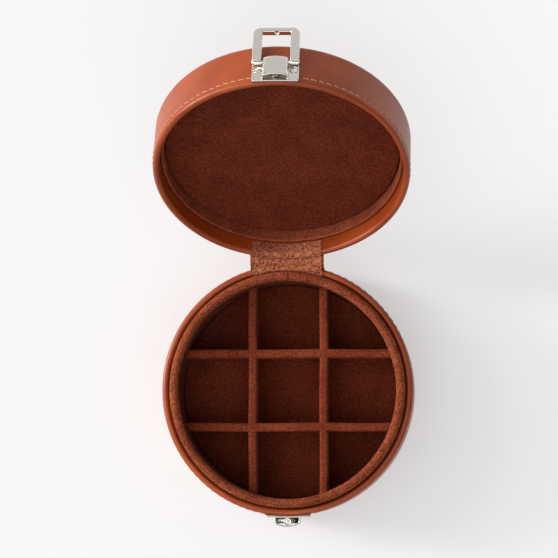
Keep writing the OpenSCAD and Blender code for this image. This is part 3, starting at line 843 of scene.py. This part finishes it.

# The spring is a helix of steel wire: (R cos a, R sin a) rising evenly with a, with a round of wire about it.
# The plunger presses it from below and its upper end bears on the barrel; here it is drawn at one length.
steel, steel_tree, wire = new_material("drawn_spring_wire")
where = node(steel_tree, "ShaderNodeTexCoord").outputs["Object"]
draw_lines = node(steel_tree, "ShaderNodeTexNoise", {"Scale": 1500, "Detail": 3}, Vector=where)
wear = node(steel_tree, "ShaderNodeMapRange", {"To Min": 0.25, "To Max": 0.4}, Value=draw_lines.outputs["Fac"])
steel_tree.links.new(wear.outputs["Result"], wire.inputs["Roughness"])
wire.inputs["Base Color"].default_value = colour("#b9b9b4")
wire.inputs["Metallic"].default_value = 1.0
spring_lo, spring_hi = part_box("catch_spring")[0].z / mm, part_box("catch_spring")[1].z / mm
wire_r, coil_r, turns, steps = 0.17, 0.7, 4, 128
a = np.linspace(0, 2 * np.pi * turns, steps)[:, None]
round_wire = np.linspace(0, 2 * np.pi, 8, endpoint=False)[None, :]
out = coil_r + wire_r * np.cos(round_wire)
rise = np.linspace(spring_lo + wire_r, spring_hi - wire_r, steps)[:, None] + wire_r * np.sin(round_wire)
coil = np.stack([out * np.cos(a), barrel_y + out * np.sin(a), rise], axis=-1)
spring = grid_mesh("catch_spring_wire", coil[:, ::-1], False, True)
dress(spring, steel, "base", "spring_steel", "catch_spring")
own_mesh(spring)


# ---- Screws ----
# Small slotted countersunk screws, nickelled like the plates, their heads just proud of them.
# Two hold the catch's plate and three the hasp's, driven into the board behind the leather.

def screw_head(x, z, slot_turn, radius=1.75, rise=0.3):
    """A low dome (radius, angle) with a slot sunk across it where the distance from the slot's line is small."""
    edge = 0.15
    roll = np.radians(np.linspace(15, 90, 5))
    r = np.concatenate([np.linspace(0.02, radius - edge, 22), radius - edge + edge * np.sin(roll)])
    dome = rise * (1 - 0.5 * (r / radius) ** 2)
    dome[-len(roll):] -= 0.2 * (1 - np.cos(roll))
    a = np.linspace(0, 2 * np.pi, 72, endpoint=False)[:, None]
    u, v = r * np.cos(a), r * np.sin(a)
    off_line = np.abs(u * math.sin(slot_turn) - v * math.cos(slot_turn))
    slot_depth, slot_half, slot_edge = 0.4, 0.27, 0.03
    sunk = slot_depth / (1 + np.exp((off_line - slot_half) / slot_edge))
    y = -(case_r + plate_out - 0.1 + dome[None, :] - sunk)
    head = np.stack([x + u, y, z + v], axis=-1)
    skirt = np.stack([x + u[:, -1:], np.full((len(a), 1), -(case_r + 0.2)), z + v[:, -1:]], axis=-1)
    return np.concatenate([head, skirt], axis=1)


screws = {"catch_screws": (catch_holes, (0.5, 1.9), "base", lambda p: p),
          "hasp_screws": (hasp_holes, (0.9, 2.4, 0.3), "lid", on_lid)}
for cad, (places, turns, body, placed) in screws.items():
    heads = [grid_mesh(f"{cad}_head_{i + 1}", placed(screw_head(*place, turned_by)), True, False)
             for i, (place, turned_by) in enumerate(zip(places, turns))]
    for i, head in enumerate(heads):
        dress(head, nickel, body, "nickel", *([cad] if i == 0 else []))


# ---- Hasp ----
# A cast frame of two legs and a bar, its outer corners well rounded, hung by two knuckles on a
# pin that runs through the bridge. A dimple in the bar takes the catch's plunger.

pin = swing(np.array(joints["hasp_hinge"]["pos_m"]) / mm, hinge, lid_angle)
fold_angle = joints["hasp_hinge"]["range_deg"][1]
hasp_len = 22.4
hasp_t = 3.3
bar_w = 2.85
window_half = 6.95
knuckle_r = 1.3
leg_start = -0.6


def folded(points):
    """Points drawn on the shut hasp, swung back over the lid, and open with it."""
    return on_lid(swing(points, pin, -fold_angle))


def u_outline(half_w, low, corner):
    """One edge of the frame: down the right leg, round a corner, along the bar, round a corner and up."""
    return np.concatenate([
        line((half_w, leg_start), (half_w, low + corner), 30),
        arc((half_w - corner, low + corner), corner, 0, -90, 16)[1:-1],
        line((half_w - corner, low), (-half_w + corner, low), 90),
        arc((-half_w + corner, low + corner), corner, 270, 180, 16)[1:-1],
        line((-half_w, low + corner), (-half_w, leg_start), 30)])


low_in = -hasp_len + bar_w
outer = u_outline(latch_half, -hasp_len, 3.9)
inner = u_outline(window_half, low_in, 0.4)
width = np.linalg.norm(outer - inner, axis=1)
section = rounded_outline(0.5, -0.5, 0.5, 0.2, 8)
edge_r = 0.7
beyond = np.clip((np.abs(section[:, 0]) - 0.3) / 0.2, 0, 1)
within = np.clip(section[:, 0] / 0.3, -1, 1)
flat = within[None, :] * (width[:, None] / 2 - edge_r) + np.sign(section[None, :, 0]) * edge_r * beyond[None, :]
middle = (outer + inner) / 2
across = (outer - inner) / width[:, None]
plane = middle[:, None, :] + across[:, None, :] * flat[..., None]
thick = section[:, 1][None, :] * hasp_t + 0 * flat
back = pin[1] + knuckle_r
points = np.stack([plane[..., 0], back - hasp_t / 2 - thick, pin[2] + plane[..., 1]], axis=-1)
to_dimple = np.hypot(points[..., 0], points[..., 1] - barrel_y)
inside = np.abs(points[..., 2] - (pin[2] + low_in)) < 0.3
dimple_depth, dimple_r, dimple_edge = 1.0, 1.1, 0.08
points[..., 2] -= np.where(inside, dimple_depth / (1 + np.exp((to_dimple - dimple_r) / dimple_edge)), 0)
hasp = grid_mesh("hasp_frame_nickel", folded(points), False, True)
dress(hasp, nickel, "hasp", "nickel", "hasp_loop")

eye_r, eye_edge = 0.75, 0.15
shoulder = knuckle_r - eye_edge
profile = np.concatenate([
    line((eye_r, window_half), (shoulder, window_half), 3),
    arc((shoulder, window_half + eye_edge), eye_edge, -90, 0, 4)[1:],
    arc((shoulder, latch_half - eye_edge), eye_edge, 0, 90, 4),
    line((shoulder, latch_half), (eye_r, latch_half), 3)[1:],
    line((eye_r, latch_half - 0.1), (eye_r, window_half + 0.1), 3)])
for side_name, sign in (("left", -1), ("right", 1)):
    spun = turned(profile * [1, sign], pin, "x")
    knuckle = grid_mesh(f"hasp_knuckle_{side_name}", folded(spun), True, True)
    dress(knuckle, nickel, "hasp", "nickel")

pin_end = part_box("hasp_pin")[1].x / mm - 0.25
half_pin = np.concatenate([
    line((0.7, 0), (0.7, pin_end - 0.4), 20), arc((0.85, pin_end - 0.25), 0.2, -90, 0, 4),
    arc((0.55, pin_end - 0.45), 0.5, 30, 90, 6), [[0.02, pin_end]]])
profile = np.concatenate([half_pin[::-1] * [1, -1], half_pin[1:]])
pin_piece = grid_mesh("hasp_pin_nickel", on_lid(turned(profile, pin, "x")), True, False)
dress(pin_piece, nickel, "lid", "nickel", "hasp_pin")


# ---- Hidden pieces ----
# Grey board, cotton wadding and the suede disc under the case, glued in between leather and lining.
# They keep the shapes that they have and get their own finishes.

def fibre_stock(name, dark, light, noise, roughness):
    """Plain matt stock: the colour runs from dark to light with one noise."""
    made, tree, stock = new_material(name)
    where = node(tree, "ShaderNodeTexCoord").outputs["Object"]
    flecks = node(tree, "ShaderNodeTexNoise", noise, Vector=where)
    shade = node(tree, "ShaderNodeValToRGB", Fac=flecks.outputs["Fac"])
    shade.color_ramp.elements[0].color = colour(dark)
    shade.color_ramp.elements[1].color = colour(light)
    tree.links.new(shade.outputs["Color"], stock.inputs["Base Color"])
    stock.inputs["Roughness"].default_value = roughness
    return made


grey_board = fibre_stock("grey_board", "#8d877c", "#b3ada1", {"Scale": 900, "Detail": 6, "Roughness": 0.7}, 0.9)
wadding = fibre_stock("cotton_wadding", "#d8d2c2", "#f2eee2", {"Scale": 400, "Detail": 8, "Roughness": 0.8}, 1.0)
finishes = {
    grey_board: ("base_wall_board", "base_floor_board", "base_ring_core", "base_pad_board", "divider_boards",
                  "lid_wall_board", "lid_top_board", "lid_pad_board"),
    wadding: ("lid_crown_padding", "lid_pad_foam"),
    lining_suede: ("base_bottom_cover",)}
for material, names in finishes.items():
    for name in names:
        mesh = frame["nodes"][name].data
        mesh.materials.clear()
        mesh.materials.append(material)
